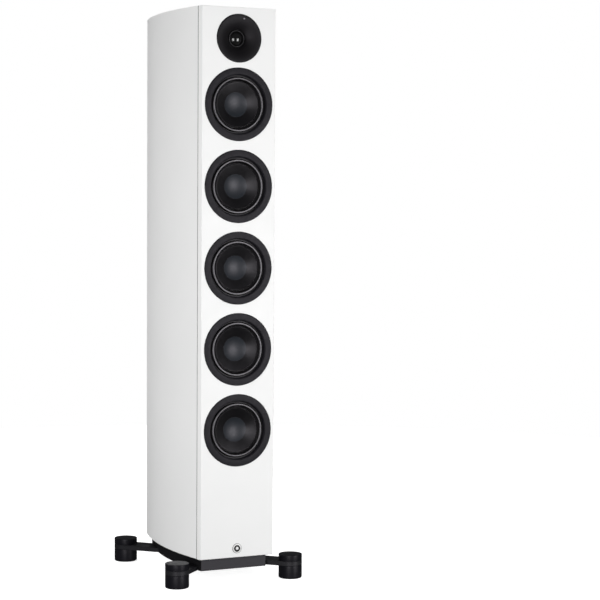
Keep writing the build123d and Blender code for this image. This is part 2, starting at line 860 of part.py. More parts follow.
# The reflex port: a tube with a rounded flare let into the back panel.
port_mouth = 4.0
port_flare = 8.0
with BuildPart() as port_tube:
    with BuildSketch(driver_plane(port_height)):
        with BuildLine():
            inner_end = cabinet_depth - port_length
            outer_wall = port_bore_radius + port_wall
            flare_start = (cabinet_depth - port_flare, port_bore_radius)
            flare_end = (cabinet_depth + port_mouth, port_bore_radius + port_flare)
            Line((inner_end, port_bore_radius), flare_start)
            TangentArc(flare_start, flare_end, tangent=(1, 0))
            Polyline(
                flare_end,
                (cabinet_depth + port_mouth - 1, port_flange_radius),
                (cabinet_depth - 3, port_flange_radius),
                (cabinet_depth - 3, outer_wall),
                (inner_end, outer_wall),
                (inner_end, port_bore_radius),
            )
        make_face()
    revolve(axis=driver_axis(port_height))
save(port_tube, "port_tube")

# ------------------------------------------------------------------ plinth, arms and feet


def arm_plane(sign_x, sign_y, level, distance=0.0):
    """A level plane on an arm's centre line, with x pointing inwards along it from the foot."""
    step = distance / math.sqrt(2)
    x = sign_x * (foot_spacing_x / 2 - step)
    y = sign_y * (foot_spacing_y / 2 - step)
    return Plane(origin=(x, y, level), x_dir=(-sign_x, -sign_y, 0), z_dir=(0, 0, 1))


def grip_plane(sign_x, sign_y):
    """A plane on the arm's outer edge, facing out of it, where the foot's grip screw goes in."""
    level = arm_bottom + arm_thickness / 2
    centre_line = arm_plane(sign_x, sign_y, level, grip_screw_distance)
    facing = Vector(-sign_x, sign_y, 0).normalized()
    return Plane(origin=centre_line.origin + facing * foot_radius, x_dir=centre_line.x_dir, z_dir=facing)


def outrigger_arm(sign_x, sign_y):
    """A flat diagonal bar whose round end is the foot's bearing and whose square end is bolted up."""
    with BuildPart() as arm:
        with BuildSketch(arm_plane(sign_x, sign_y, arm_bottom)):
            Circle(foot_radius)
            with Locations((arm_length / 2, 0)):
                Rectangle(arm_length, 2 * foot_radius)
            Circle(stud_radius + stud_clearance, mode=Mode.SUBTRACT)
            with Locations(*[(distance, 0) for distance in arm_screw_distances]):
                Circle(arm_screw_radius + 0.1, mode=Mode.SUBTRACT)
        extrude(amount=arm_thickness)
        with BuildSketch(arm_plane(sign_x, sign_y, arm_bottom)):
            with Locations(*[(distance, 0) for distance in arm_screw_distances]):
                Circle(arm_screw_head_radius + 0.2)
        extrude(amount=arm_screw_head_height + 0.3, mode=Mode.SUBTRACT)
        with BuildSketch(grip_plane(sign_x, sign_y)):
            Circle(grip_screw_radius + 0.1)
        extrude(amount=-12.0, mode=Mode.SUBTRACT)
        chamfer(arm.faces().sort_by(Axis.Z)[-1].outer_wire().edges(), length=0.5)
        chamfer(arm.faces().sort_by(Axis.Z)[0].outer_wire().edges(), length=0.5)
    return arm


with BuildPart() as outrigger_arms:
    for signs in corners.values():
        add(outrigger_arm(*signs).part)
save(outrigger_arms, "outrigger_arms")

# The plinth plate, with a pocket in its underside for each arm and a blind hole for each arm screw.
with BuildPart() as plinth_plate:
    add(
        curved_slab(
            plinth_front_depth, plinth_back_depth, plinth_inset, arm_bottom, cabinet_underside
        ).part
    )
    upright_edges = plinth_plate.edges().filter_by(Axis.Z)
    fillet(upright_edges, radius=edge_rounding)
    for signs in corners.values():
        with BuildSketch(arm_plane(*signs, arm_bottom)):
            with Locations((arm_length / 2, 0)):
                Rectangle(arm_length + 0.4, 2 * foot_radius + 0.2)
        extrude(amount=arm_thickness, mode=Mode.SUBTRACT)
        with BuildSketch(arm_plane(*signs, arm_top)):
            with Locations(*[(distance, 0) for distance in arm_screw_distances]):
                Circle(arm_screw_radius + 0.1)
        extrude(amount=13.0, mode=Mode.SUBTRACT)
save(plinth_plate, "plinth_plate")

# Socket screws: two up through each arm into the plate, and one in each arm's outer edge.
with BuildPart() as arm_screws:
    for signs in corners.values():
        head_bottom = arm_bottom + 0.3
        with BuildSketch(arm_plane(*signs, head_bottom)):
            with Locations(*[(distance, 0) for distance in arm_screw_distances]):
                Circle(arm_screw_head_radius)
        extrude(amount=arm_screw_head_height)
        with BuildSketch(arm_plane(*signs, head_bottom + arm_screw_head_height)):
            with Locations(*[(distance, 0) for distance in arm_screw_distances]):
                Circle(arm_screw_radius)
        extrude(amount=14.0)
        with BuildSketch(arm_plane(*signs, head_bottom)):
            with Locations(*[(distance, 0) for distance in arm_screw_distances]):
                RegularPolygon(2.9, 6)
        extrude(amount=3.0, mode=Mode.SUBTRACT)
        with BuildSketch(grip_plane(*signs).offset(-3.0)):
            Circle(grip_screw_radius)
        extrude(amount=-8.5)
        with BuildSketch(grip_plane(*signs).offset(-3.0)):
            RegularPolygon(1.7, 6)
        extrude(amount=-3.0, mode=Mode.SUBTRACT)
save(arm_screws, "arm_screws")


def upright_turned(x, y, *profile):
    """A piece turned about a vertical axis from (radius, height) points."""
    with BuildPart() as piece:
        with BuildSketch(Plane(origin=(x, y, 0), x_dir=(1, 0, 0), z_dir=(0, -1, 0))):
            Polygon(*profile, align=None)
        revolve(axis=Axis((x, y, 0), (0, 0, 1)))
    return piece


def foot(x, y):
    """A round foot with a bored top, and the threaded stud that stands in it."""
    bore = stud_radius + stud_clearance
    with BuildPart() as leveller:
        add(
            upright_turned(
                x,
                y,
                (0, 0),
                (foot_radius, 0),
                (foot_radius, foot_height),
                (bore, foot_height),
                (bore, stud_bottom - 0.3),
                (0, stud_bottom - 0.3),
            ).part
        )
        fillet(leveller.edges().filter_by(GeomType.CIRCLE).sort_by(Axis.Z)[0], radius=3.0)
        top_rim = leveller.edges().filter_by(GeomType.CIRCLE).sort_by(Axis.Z).group_by(Axis.Z)[-1]
        chamfer(top_rim.sort_by(SortBy.RADIUS)[-1], length=0.5)
        add(
            upright_turned(
                x,
                y,
                (0, stud_bottom),
                (stud_radius, stud_bottom),
                (stud_radius, stud_top - 1),
                (stud_radius - 1, stud_top),
                (0, stud_top),
            ).part
        )
    return leveller


def foot_cap(x, y):
    """The round locking cap above the arm, with a short hub, a fine groove and a blind bore."""
    bore = stud_radius + stud_clearance
    bottom = arm_top + cap_gap
    return upright_turned(
        x,
        y,
        (bore, bottom),
        (foot_radius - 0.9, bottom),
        (foot_radius - 0.9, bottom + 0.6),
        (foot_radius, bottom + 1.0),
        (foot_radius, cap_top - 0.8),
        (foot_radius - 0.8, cap_top),
        (0, cap_top),
        (0, stud_top + 0.8),
        (bore, stud_top + 0.8),
    )


for corner, (sign_x, sign_y) in corners.items():
    foot_x, foot_y = sign_x * foot_spacing_x / 2, sign_y * foot_spacing_y / 2
    save(foot(foot_x, foot_y), f"{corner}_foot")
    save(foot_cap(foot_x, foot_y), f"{corner}_foot_cap")
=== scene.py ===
import json
import math

import bmesh
import bpy
from mathutils import Matrix, Vector


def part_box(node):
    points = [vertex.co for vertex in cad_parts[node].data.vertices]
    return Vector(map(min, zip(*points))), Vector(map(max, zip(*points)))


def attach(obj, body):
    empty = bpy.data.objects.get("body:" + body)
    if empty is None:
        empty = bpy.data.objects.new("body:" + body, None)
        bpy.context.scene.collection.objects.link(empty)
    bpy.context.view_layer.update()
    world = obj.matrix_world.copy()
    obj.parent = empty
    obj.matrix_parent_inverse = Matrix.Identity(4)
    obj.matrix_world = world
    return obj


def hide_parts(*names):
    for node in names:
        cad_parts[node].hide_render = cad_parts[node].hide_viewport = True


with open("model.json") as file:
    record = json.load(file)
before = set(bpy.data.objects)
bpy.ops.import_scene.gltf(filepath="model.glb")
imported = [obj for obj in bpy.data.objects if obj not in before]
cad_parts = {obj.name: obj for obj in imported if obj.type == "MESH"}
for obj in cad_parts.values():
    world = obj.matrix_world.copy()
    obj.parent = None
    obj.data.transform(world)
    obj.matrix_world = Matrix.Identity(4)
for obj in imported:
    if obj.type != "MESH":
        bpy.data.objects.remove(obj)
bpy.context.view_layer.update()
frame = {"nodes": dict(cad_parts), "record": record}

MM = 0.001
WOOFERS = [f"woofer_{number}" for number in range(1, 6)]
CORNERS = ["front_left", "front_right", "rear_left", "rear_right"]


def middle(node):
    """The centre of a node's box."""
    low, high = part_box(node)
    return (low + high) / 2


FRONT_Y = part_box("front_baffle")[0].y
CABINET_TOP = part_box("front_baffle")[1].z
ARM_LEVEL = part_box("outrigger_arms")


# ---------------------------------------------------------------- camera, light and floor

# The camera's place in metres, its lens and sensor in millimetres, and its angles in degrees.
CAMERA_PLACE = (-1.458, -3.5557, 0.7866)
CAMERA_LENS, CAMERA_SENSOR = 107.9, 36
CAMERA_TURN, CAMERA_TIP, CAMERA_ROLL = 25.26, 3.08, 0.35

# The floor's radius in metres, and how brightly it and the studio shine.
FLOOR_RADIUS, FLOOR_GLOW = 2.5, 0.84
ROOM_TINT, ROOM_LIGHT = (0.97, 0.98, 1, 1), 0.08
WHITE = (1, 1, 1, 1)


def make_camera():
    """It stands in front and to the left, above the speaker's middle, and looks slightly down."""
    camera = bpy.data.objects.new("camera", bpy.data.cameras.new("camera"))
    camera.data.sensor_width = CAMERA_SENSOR
    camera.data.lens = CAMERA_LENS
    turn, tip, roll = (math.radians(angle) for angle in (CAMERA_TURN, CAMERA_TIP, CAMERA_ROLL))
    facing = Matrix.Rotation(-turn, 4, "Z") @ Matrix.Rotation(math.pi / 2 - tip, 4, "X")
    place = Matrix.Translation(CAMERA_PLACE)
    camera.matrix_world = place @ facing @ Matrix.Rotation(roll, 4, "Z")
    bpy.context.collection.objects.link(camera)
    bpy.context.scene.camera = camera


def softbox(name, azimuth, distance, width, height, brightness, elevation=0.0, glossy=True):
    """An area light aimed at the cabinet's middle. Azimuth 0 is in front, and 90 is on the +X side.
    Brightness is what a white card at the cabinet would reflect, where 1 is pure white. A light
    that isn't glossy is a bounce off the studio's walls, and shows in no reflection."""
    light = bpy.data.lights.new(name, "AREA")
    light.shape = "RECTANGLE"
    light.size = width
    light.size_y = height
    light.energy = brightness * (math.pi * distance) ** 2
    turn, rise = math.radians(azimuth), math.radians(elevation)
    level = math.cos(rise)
    direction = Vector((math.sin(turn) * level, -math.cos(turn) * level, math.sin(rise)))
    lamp = bpy.data.objects.new(name, light)
    lamp.location = Vector((0, 0, CABINET_TOP / 2)) + direction * distance
    lamp.rotation_mode = "QUATERNION"
    lamp.rotation_quaternion = direction.to_track_quat("Z", "Y")
    lamp.visible_camera = False
    lamp.visible_glossy = glossy
    bpy.context.collection.objects.link(lamp)


def make_lights():
    """Two tall softboxes in front, and dim bounces off the walls and the ceiling. The numbers are
    azimuth, distance, width, height and brightness."""
    softbox("key_right", 26, 3.0, 1.2, 1.6, 0.48, elevation=-1)
    softbox("key_left", -34, 3.0, 1.25, 1.6, 0.42, elevation=-1)
    softbox("bounce_left", -82, 2.0, 2.0, 1.2, 0.62, glossy=False)
    softbox("bounce_right", 82, 2.4, 2.4, 1.8, 0.35, glossy=False)
    softbox("bounce_behind", 180, 3.0, 2.4, 1.8, 0.6, glossy=False)
    softbox("bounce_above", 0, 2.6, 1.6, 1.6, 0.4, elevation=88, glossy=False)


def make_world():
    """A dim studio as light, which is pure white where the camera looks past the floor."""
    world = bpy.data.worlds.new("studio")
    bpy.context.scene.world = world
    world.use_nodes = True
    tree = world.node_tree
    tree.nodes.clear()
    output = tree.nodes.new("ShaderNodeOutputWorld")
    seen = tree.nodes.new("ShaderNodeBackground")
    seen.inputs["Color"].default_value = WHITE
    room = tree.nodes.new("ShaderNodeBackground")
    room.inputs["Color"].default_value = ROOM_TINT
    room.inputs["Strength"].default_value = ROOM_LIGHT
    path = tree.nodes.new("ShaderNodeLightPath")
    mix = tree.nodes.new("ShaderNodeMixShader")
    tree.links.new(path.outputs["Is Camera Ray"], mix.inputs["Fac"])
    tree.links.new(room.outputs[0], mix.inputs[1])
    tree.links.new(seen.outputs[0], mix.inputs[2])
    tree.links.new(mix.outputs[0], output.inputs["Surface"])


def make_floor():
    """A round sheet of white paper, lit from beneath like a light table. It throws no light or
    reflection on the speaker."""
    mesh = bpy.data.meshes.new("floor")
    shape = bmesh.new()
    bmesh.ops.create_circle(shape, cap_ends=True, segments=96, radius=FLOOR_RADIUS)
    shape.to_mesh(mesh)
    shape.free()
    floor = bpy.data.objects.new("floor", mesh)
    floor.visible_diffuse = False
    floor.visible_glossy = False
    floor.visible_shadow = False
    bpy.context.collection.objects.link(floor)
    floor.data.materials.append(paper_material())


# ---------------------------------------------------------------- material helpers

# The badge's inlay, in metres: the ring's radius and half its width, and the dot's radius.
BADGE_RING, BADGE_LINE, BADGE_DOT = 0.0082, 0.0012, 0.0034

# The middle of the shadow gap behind the baffle's plate, and half its width, in metres, and the
# near-black colour painted there as shade that falls in the gap.
GAP_Y, GAP_HALF_WIDTH = FRONT_Y + 0.0141, 0.00105
GAP_PAINTED_SHADE = (0.008, 0.008, 0.008)

# The slightly violet tint of the black finishes' reflections.
SHEEN = (0.97, 0.93, 1.0, 1)


class Finish:
    """A material being built: a Principled shader, with helpers for the nodes in front of it."""

    def __init__(self, name, roughness=0.5, metallic=0.0, specular=0.5):
        self.material = bpy.data.materials.new(name)
        self.material.use_nodes = True
        self.tree = self.material.node_tree
        self.shader = self.tree.nodes["Principled BSDF"]
        self.shader.inputs["Roughness"].default_value = roughness
        self.shader.inputs["Metallic"].default_value = metallic
        self.shader.inputs["Specular IOR Level"].default_value = specular
        self.coordinates = self.tree.nodes.new("ShaderNodeTexCoord")

    def node(self, kind, **inputs):
        made = self.tree.nodes.new(kind)
        for label, value in inputs.items():
            socket = made.inputs[label.replace("_", " ")]
            if isinstance(value, bpy.types.NodeSocket):
                self.tree.links.new(value, socket)
            else:
                socket.default_value = value
        return made

    def link(self, output, label):
        self.tree.links.new(output, self.shader.inputs[label])

    def place(self, stretch=(1, 1, 1), source="Object"):
        """Coordinates scaled along each axis."""
        return self.node(
            "ShaderNodeMapping", Vector=self.coordinates.outputs[source], Scale=stretch
        ).outputs["Vector"]

    def noise(self, scale, detail=4.0, roughness=0.55, vector=None):
        """Fractal noise, with its scale in cells a metre."""
        return self.node(
            "ShaderNodeTexNoise",
            Vector=vector or self.coordinates.outputs["Object"],
            Scale=scale,
            Detail=detail,
            Roughness=roughness,
        ).outputs["Fac"]

    def spread(self, value, low, high, start=0.3, end=0.7):
        """A value from start to end stretched to the range low to high."""
        ranged = self.tree.nodes.new("ShaderNodeMapRange")
        self.tree.links.new(value, ranged.inputs["Value"])
        for label, number in zip(("From Min", "From Max", "To Min", "To Max"), (start, end, low, high)):
            ranged.inputs[label].default_value = number
        return ranged.outputs["Result"]

    def blend(self, factor, first, second):
        """A colour between two colours, each of them three numbers or another node's output."""
        mix = self.tree.nodes.new("ShaderNodeMix")
        mix.data_type = "RGBA"
        self.tree.links.new(factor, mix.inputs["Factor"])
        for label, colour in (("A", first), ("B", second)):
            if isinstance(colour, bpy.types.NodeSocket):
                self.tree.links.new(colour, mix.inputs[label])
            else:
                mix.inputs[label].default_value = (*colour, 1)
        return mix.outputs["Result"]

    def sum(self, first, second, operation="ADD"):
        """Two values combined."""
        math_node = self.tree.nodes.new("ShaderNodeMath")
        math_node.operation = operation
        for socket, value in zip(math_node.inputs, (first, second)):
            if isinstance(value, bpy.types.NodeSocket):
                self.tree.links.new(value, socket)
            else:
                socket.default_value = value
        return math_node.outputs["Value"]

    def bump(self, height, depth):
        """Relief of a height field, with its depth in metres."""
        made = self.node("ShaderNodeBump", Height=height, Strength=1.0, Distance=depth)
        self.link(made.outputs["Normal"], "Normal")


def mottled(finish, dark, light, scale, rough_low, rough_high):
    """Soft changes of colour and of polish over the surface."""
    broad = finish.noise(scale, detail=3.0)
    finish.link(finish.blend(finish.spread(broad, 0, 1), dark, light), "Base Color")
    fine = finish.noise(scale * 5, detail=5.0)
    finish.link(finish.spread(fine, rough_low, rough_high), "Roughness")


def paper_material():
    """White paper that shines from beneath."""
    finish = Finish("floor_paper", specular=0.2)
    mottled(finish, (0.93, 0.93, 0.925), (0.95, 0.95, 0.95), 3.0, 0.7, 0.85)
    finish.bump(finish.noise(900, detail=3.0), 0.00006)
    finish.shader.inputs["Emission Color"].default_value = WHITE
    finish.shader.inputs["Emission Strength"].default_value = FLOOR_GLOW
    return finish.material


def lacquer_material():
    """Satin white lacquer: a sprayed, very slightly pebbled coat. The shadow gap between the baffle and
    the side panels carries painted shade: a near-black colour where shade falls in that recess."""
    finish = Finish("white_lacquer", specular=0.45)
    broad, fine = finish.noise(6.0, detail=3.0), finish.noise(30.0, detail=5.0)
    white = finish.blend(finish.spread(broad, 0, 1), (0.845, 0.847, 0.842), (0.87, 0.87, 0.866))
    finish.link(finish.spread(fine, 0.36, 0.44), "Roughness")
    parts = finish.node("ShaderNodeSeparateXYZ", Vector=finish.coordinates.outputs["Object"])
    from_gap = finish.sum(finish.sum(parts.outputs["Y"], GAP_Y, "SUBTRACT"), 0, "ABSOLUTE")
    gap = finish.sum(from_gap, GAP_HALF_WIDTH, "LESS_THAN")
    # Painted shade: the band in the shadow gap is coloured near-black where shade falls, instead of
    # white.
    finish.link(finish.blend(gap, white, GAP_PAINTED_SHADE), "Base Color")
    finish.shader.inputs["Coat Weight"].default_value = 0.1
    finish.shader.inputs["Coat Roughness"].default_value = 0.25
    pebble = finish.noise(520, detail=2.0, roughness=0.4)
    dust = finish.noise(2600, detail=2.0)
    finish.bump(finish.sum(pebble, finish.sum(dust, 0.25, "MULTIPLY")), 0.000018)
    return finish.material


def fine_black_material(name, dark, light, rough, specular=0.5, grain=1800, depth=0.00002):
    """A black finish with a fine grain, such as moulded plastic or a powder coat."""
    finish = Finish(name, specular=specular)
    finish.shader.inputs["Specular Tint"].default_value = SHEEN
    mottled(finish, dark, light, 35.0, *rough)
    finish.bump(finish.noise(grain, detail=4.0), depth)
    return finish.material


def turned_material(name, dark, light, rough, metallic, specular, pitch, depth):
    """A surface turned on a lathe, whose fine grooves follow the outline of the piece."""
    finish = Finish(name, metallic=metallic, specular=specular)
    finish.shader.inputs["Specular Tint"].default_value = SHEEN
    mottled(finish, dark, light, 30.0, *rough)
    across = finish.node("ShaderNodeSeparateXYZ", Vector=finish.coordinates.outputs["UV"]).outputs["Y"]
    wave = finish.sum(finish.sum(across, 2 * math.pi / pitch, "MULTIPLY"), 0, "SINE")
    grain = finish.noise(1500, detail=3.0)
    finish.bump(finish.sum(wave, finish.sum(grain, 2.0, "MULTIPLY")), depth)
    return finish.material


def brushed_material(name, dark, light, stretch, rough, metallic, depth):
    """Brushed metal: noise drawn out along the brushing."""
    finish = Finish(name, metallic=metallic)
    streaks = finish.noise(60, detail=6.0, roughness=0.65, vector=finish.place(stretch))
    finish.link(finish.blend(finish.spread(streaks, 0, 1), dark, light), "Base Color")
    finish.link(finish.spread(streaks, *rough), "Roughness")
    finish.bump(streaks, depth)
    return finish.material


def woven_material(name, dark, light, threads):
    """Plain weave: two crossed waves."""
    finish = Finish(name, roughness=0.8)
    parts = finish.node("ShaderNodeSeparateXYZ", Vector=finish.coordinates.outputs["Object"])
    warp = finish.sum(finish.sum(parts.outputs["X"], threads, "MULTIPLY"), 0, "SINE")
    weft = finish.sum(finish.sum(parts.outputs["Z"], threads, "MULTIPLY"), 0, "SINE")
    weave = finish.sum(warp, weft, "MULTIPLY")
    finish.link(finish.blend(finish.spread(weave, 0, 1, -1, 1), dark, light), "Base Color")
    finish.bump(weave, 0.00015)
    return finish.material


def grained_board_material():
    """Raw fibreboard inside the cabinet."""
    finish = Finish("mdf", roughness=0.85)
    mottled(finish, (0.42, 0.31, 0.2), (0.52, 0.4, 0.27), 120.0, 0.75, 0.9)
    finish.bump(finish.noise(1400), 0.0001)
    return finish.material


def gloss_material(name, dark, light, roughness, coat):
    """A polished coat over a dark body."""
    finish = Finish(name, roughness=roughness)
    tone = finish.noise(60, detail=3.0)
    finish.link(finish.blend(finish.spread(tone, 0, 1), dark, light), "Base Color")
    finish.shader.inputs["Coat Weight"].default_value = coat
    finish.shader.inputs["Coat Roughness"].default_value = 0.05
    finish.bump(finish.noise(900, detail=2.0), 0.000004)
    return finish.material


def badge_material():
    """Gloss black, inlaid with a plain pale ring and a small dot at its middle."""
    finish = Finish("badge_black", roughness=0.25, specular=0.4)
    offset = finish.node("ShaderNodeVectorMath", Vector=finish.coordinates.outputs["Object"])
    offset.operation = "MULTIPLY"
    offset.inputs[1].default_value = (1, 0, 1)
    distance = finish.tree.nodes.new("ShaderNodeVectorMath")
    distance.operation = "LENGTH"
    finish.tree.links.new(offset.outputs[0], distance.inputs[0])
    radius = distance.outputs["Value"]
    from_ring = finish.sum(finish.sum(radius, BADGE_RING, "SUBTRACT"), 0, "ABSOLUTE")
    ring = finish.spread(from_ring, 1, 0, BADGE_LINE * 0.8, BADGE_LINE)
    dot = finish.spread(radius, 1, 0, BADGE_DOT * 0.8, BADGE_DOT)
    inlay = finish.sum(ring, dot, "MAXIMUM")
    finish.link(finish.blend(inlay, (0.004, 0.004, 0.0045), (0.82, 0.82, 0.81)), "Base Color")
    finish.bump(finish.sum(inlay, finish.sum(finish.noise(1800), 0.1, "MULTIPLY")), 0.00003)
    return finish.material


def grey(level):
    """A neutral colour."""
    return (level, level, level)


def cabinet_finishes():
    """The cabinet, its inside, its port, the screws and the badge."""
    return {
        "white_lacquer": lacquer_material(),
        "mdf": grained_board_material(),
        "wadding": woven_material("wadding", (0.7, 0.69, 0.66), (0.82, 0.81, 0.78), 900),
        "badge_black": badge_material(),
        "port_plastic": fine_black_material(
            "port_plastic", grey(0.015), grey(0.022), (0.5, 0.6), specular=0.4
        ),
        "screw_steel": fine_black_material("screw_steel", grey(0.03), grey(0.05), (0.3, 0.42)),
    }


def woofer_finishes():
    """What the front of a woofer shows."""
    return {
        "trim_black": turned_material(
            "trim_black",
            dark=(0.0046, 0.0044, 0.006),
            light=(0.0068, 0.0065, 0.0086),
            rough=(0.42, 0.5),
            metallic=0.0,
            specular=0.19,
            pitch=0.0006,
            depth=0.000003,
        ),
        "surround_rubber": fine_black_material(
            "surround_rubber",
            dark=grey(0.0025),
            light=grey(0.004),
            rough=(0.26, 0.34),
            specular=0.62,
            grain=2400,
            depth=0.000003,
        ),
        "cone_black": turned_material(
            "cone_black",
            dark=(0.001, 0.0009, 0.0011),
            light=(0.0018, 0.0016, 0.002),
            rough=(0.32, 0.4),
            metallic=0.0,
            specular=0.5,
            pitch=0.0012,
            depth=0.000003,
        ),
        "dust_cap_black": fine_black_material(
            "dust_cap_black",
            dark=(0.007, 0.0102, 0.0138),
            light=(0.01, 0.014, 0.0186),
            rough=(0.42, 0.5),
            specular=0.6,
            grain=2600,
            depth=0.000005,
        ),
    }


def motor_finishes():
    """What stands behind the cones."""
    return {
        "basket_steel": fine_black_material("basket_steel", grey(0.02), grey(0.03), (0.5, 0.6)),
        "spider_cloth": woven_material("spider_cloth", (0.42, 0.29, 0.1), (0.55, 0.4, 0.16), 5000),
        "ferrite": fine_black_material("ferrite", grey(0.05), grey(0.08), (0.5, 0.7)),
        "motor_steel": brushed_material(
            "motor_steel", grey(0.45), grey(0.6), (1, 12, 1), (0.3, 0.45), metallic=1.0, depth=0.00002
        ),
        "voice_coil": turned_material(
            "voice_coil",
            dark=(0.5, 0.26, 0.14),
            light=(0.62, 0.34, 0.2),
            rough=(0.3, 0.4),
            metallic=1.0,
            specular=0.5,
            pitch=0.0003,
            depth=0.00004,
        ),
    }


def tweeter_finishes():
    """The tweeter's front, and the status light in it."""
    return {
        "faceplate_black": fine_black_material(
            "faceplate_black",
            dark=(0.0026, 0.0023, 0.0027),
            light=(0.0038, 0.0034, 0.004),
            rough=(0.5, 0.58),
            specular=0.26,
            grain=2200,
            depth=0.00001,
        ),
        "ring_metal": turned_material(
            "ring_metal",
            dark=(0.008, 0.008, 0.0084),
            light=(0.012, 0.012, 0.0124),
            rough=(0.42, 0.5),
            metallic=0.0,
            specular=0.5,
            pitch=0.0004,
            depth=0.000003,
        ),
        "tweeter_surround_cloth": fine_black_material(
            "tweeter_surround_cloth",
            dark=grey(0.0015),
            light=grey(0.0025),
            rough=(0.6, 0.7),
            specular=0.1,
            grain=3200,
            depth=0.000004,
        ),
        "dome_black": gloss_material("dome_black", grey(0.003), grey(0.005), roughness=0.12, coat=0.8),
        "indicator_lens": gloss_material(
            "indicator_lens", (0.05, 0.042, 0.055), (0.07, 0.06, 0.076), roughness=0.3, coat=0.3
        ),
    }


def amplifier_finishes():
    """The panel at the back, its controls and its board."""
    return {
        "amplifier_aluminium": brushed_material(
            "amplifier_aluminium",
            dark=grey(0.018),
            light=grey(0.03),
            stretch=(1, 1, 10),
            rough=(0.4, 0.5),
            metallic=0.3,
            depth=0.00001,
        ),
        "circuit_board": gloss_material(
            "circuit_board", (0.02, 0.14, 0.06), (0.03, 0.18, 0.08), roughness=0.3, coat=0.3
        ),
        "inlet_plastic": fine_black_material("inlet_plastic", grey(0.015), grey(0.02), (0.45, 0.55)),
        "switch_plastic": fine_black_material("switch_plastic", grey(0.012), grey(0.016), (0.25, 0.32)),
    }


def stand_finishes():
    """The plinth, the arms and the feet."""
    return {
        "plinth_metal": brushed_material(
            "plinth_metal",
            dark=(0.058, 0.056, 0.062),
            light=(0.078, 0.076, 0.083),
            stretch=(1, 1, 16),
            rough=(0.58, 0.66),
            metallic=1.0,
            depth=0.000006,
        ),
        "arm_metal": fine_black_material(
            "arm_metal",
            dark=(0.009, 0.009, 0.0104),
            light=(0.013, 0.013, 0.015),
            rough=(0.42, 0.5),
            specular=0.4,
            grain=1600,
            depth=0.000008,
        ),
        "foot_metal": turned_material(
            "foot_metal",
            dark=(0.0045, 0.0044, 0.0062),
            light=(0.0066, 0.0064, 0.0088),
            rough=(0.36, 0.44),
            metallic=0.0,
            specular=0.24,
            pitch=0.0005,
            depth=0.000002,
        ),
    }


def make_materials():
    """Every material slot's finish, by the slot's name."""
    return {
        **cabinet_finishes(),
        **woofer_finishes(),
        **motor_finishes(),
        **tweeter_finishes(),
        **amplifier_finishes(),
        **stand_finishes(),
    }


# ---------------------------------------------------------------- turned pieces

# Faces that meet at more than this many degrees keep a sharp edge.
SHARP_ANGLE = 38

# A point nearer to the axis than this, in metres, is on it.
ON_AXIS = 1e-6


def rounded(corners, steps=5):
    """A closed outline in metres from (along, radius, rounding) corners in millimetres."""
    outline = []
    for index, (along, radius, rounding) in enumerate(corners):
        corner = Vector((along, radius)) * MM
        if rounding == 0:
            outline.append(corner)
            continue
        before = Vector(corners[index - 1][:2]) * MM - corner
        after = Vector(corners[(index + 1) % len(corners)][:2]) * MM - corner
        half_angle = before.angle(after) / 2
        reach = rounding * MM / math.tan(half_angle)
        reach = min(reach, 0.48 * before.length, 0.48 * after.length)
        inwards = (before.normalized() + after.normalized()).normalized()
        centre = corner + inwards * reach / math.cos(half_angle)
        start = corner + before.normalized() * reach - centre
        end = corner + after.normalized() * reach - centre
        turn = start.angle_signed(end)
        for step in range(steps + 1):
            outline.append(centre + Matrix.Rotation(-turn * step / steps, 2) @ start)
    return outline


def arc(start, through, end, steps):
    """Points in millimetres on the circle arc from start through a point to end, without its ends."""
    a, b, c = Vector(start), Vector(through), Vector(end)
    side_1, side_2 = b - a, c - a
    cross = 2 * (side_1.x * side_2.y - side_1.y * side_2.x)
    reach_1, reach_2 = side_1.length_squared, side_2.length_squared
    centre = a + Vector(
        (side_2.y * reach_1 - side_1.y * reach_2, side_1.x * reach_2 - side_2.x * reach_1)
    ) / cross
    first = math.atan2(a.y - centre.y, a.x - centre.x)
    last = math.atan2(c.y - centre.y, c.x - centre.x)
    full = 2 * math.pi
    turn = (last - first) % full
    at_middle = (math.atan2(b.y - centre.y, b.x - centre.x) - first) % full
    if at_middle > turn:
        turn -= full
    radius = (a - centre).length
    angles = [first + turn * step / steps for step in range(1, steps)]
    return [(centre.x + radius * math.cos(t), centre.y + radius * math.sin(t), 0) for t in angles]


def lathe(name, outline, centre, upright=False, segments=144):
    """A closed outline of (along, radius) points in metres, turned about +Y, or about +Z if upright.
    The UV map holds the share of a turn, and the distance along the outline in metres."""
    axis = Vector((0, 0, 1)) if upright else Vector((0, 1, 0))
    sideways = Vector((1, 0, 0))
    third = axis.cross(sideways)
    travelled = [0.0]
    for first, second in zip(outline, outline[1:] + outline[:1]):
        travelled.append(travelled[-1] + (second - first).length)
    shape = bmesh.new()
    uv = shape.loops.layers.uv.new("turned")
    rings = []
    for along, radius in outline:
        if radius < ON_AXIS:
            rings.append([shape.verts.new(axis * along)] * segments)
            continue
        ring = []
        for step in range(segments):
            angle = 2 * math.pi * step / segments
            outwards = sideways * math.cos(angle) + third * math.sin(angle)
            ring.append(shape.verts.new(axis * along + outwards * radius))
        rings.append(ring)
    for index in range(len(rings)):
        here, there = rings[index], rings[(index + 1) % len(rings)]
        if here[0] is here[1] and there[0] is there[1]:
            continue
        for step in range(segments):
            after = (step + 1) % segments
            corners = [
                (here[step], step, index),
                (here[after], step + 1, index),
                (there[after], step + 1, index + 1),
                (there[step], step, index + 1),
            ]
            if here[0] is here[1]:
                del corners[1]
            elif there[0] is there[1]:
                del corners[2]
            face = shape.faces.new([vertex for vertex, turn, place in corners])
            for loop, (vertex, turn, place) in zip(face.loops, corners):
                loop[uv].uv = (turn / segments, travelled[place])
    bmesh.ops.recalc_face_normals(shape, faces=shape.faces)
    return finish_mesh(name, shape, centre)


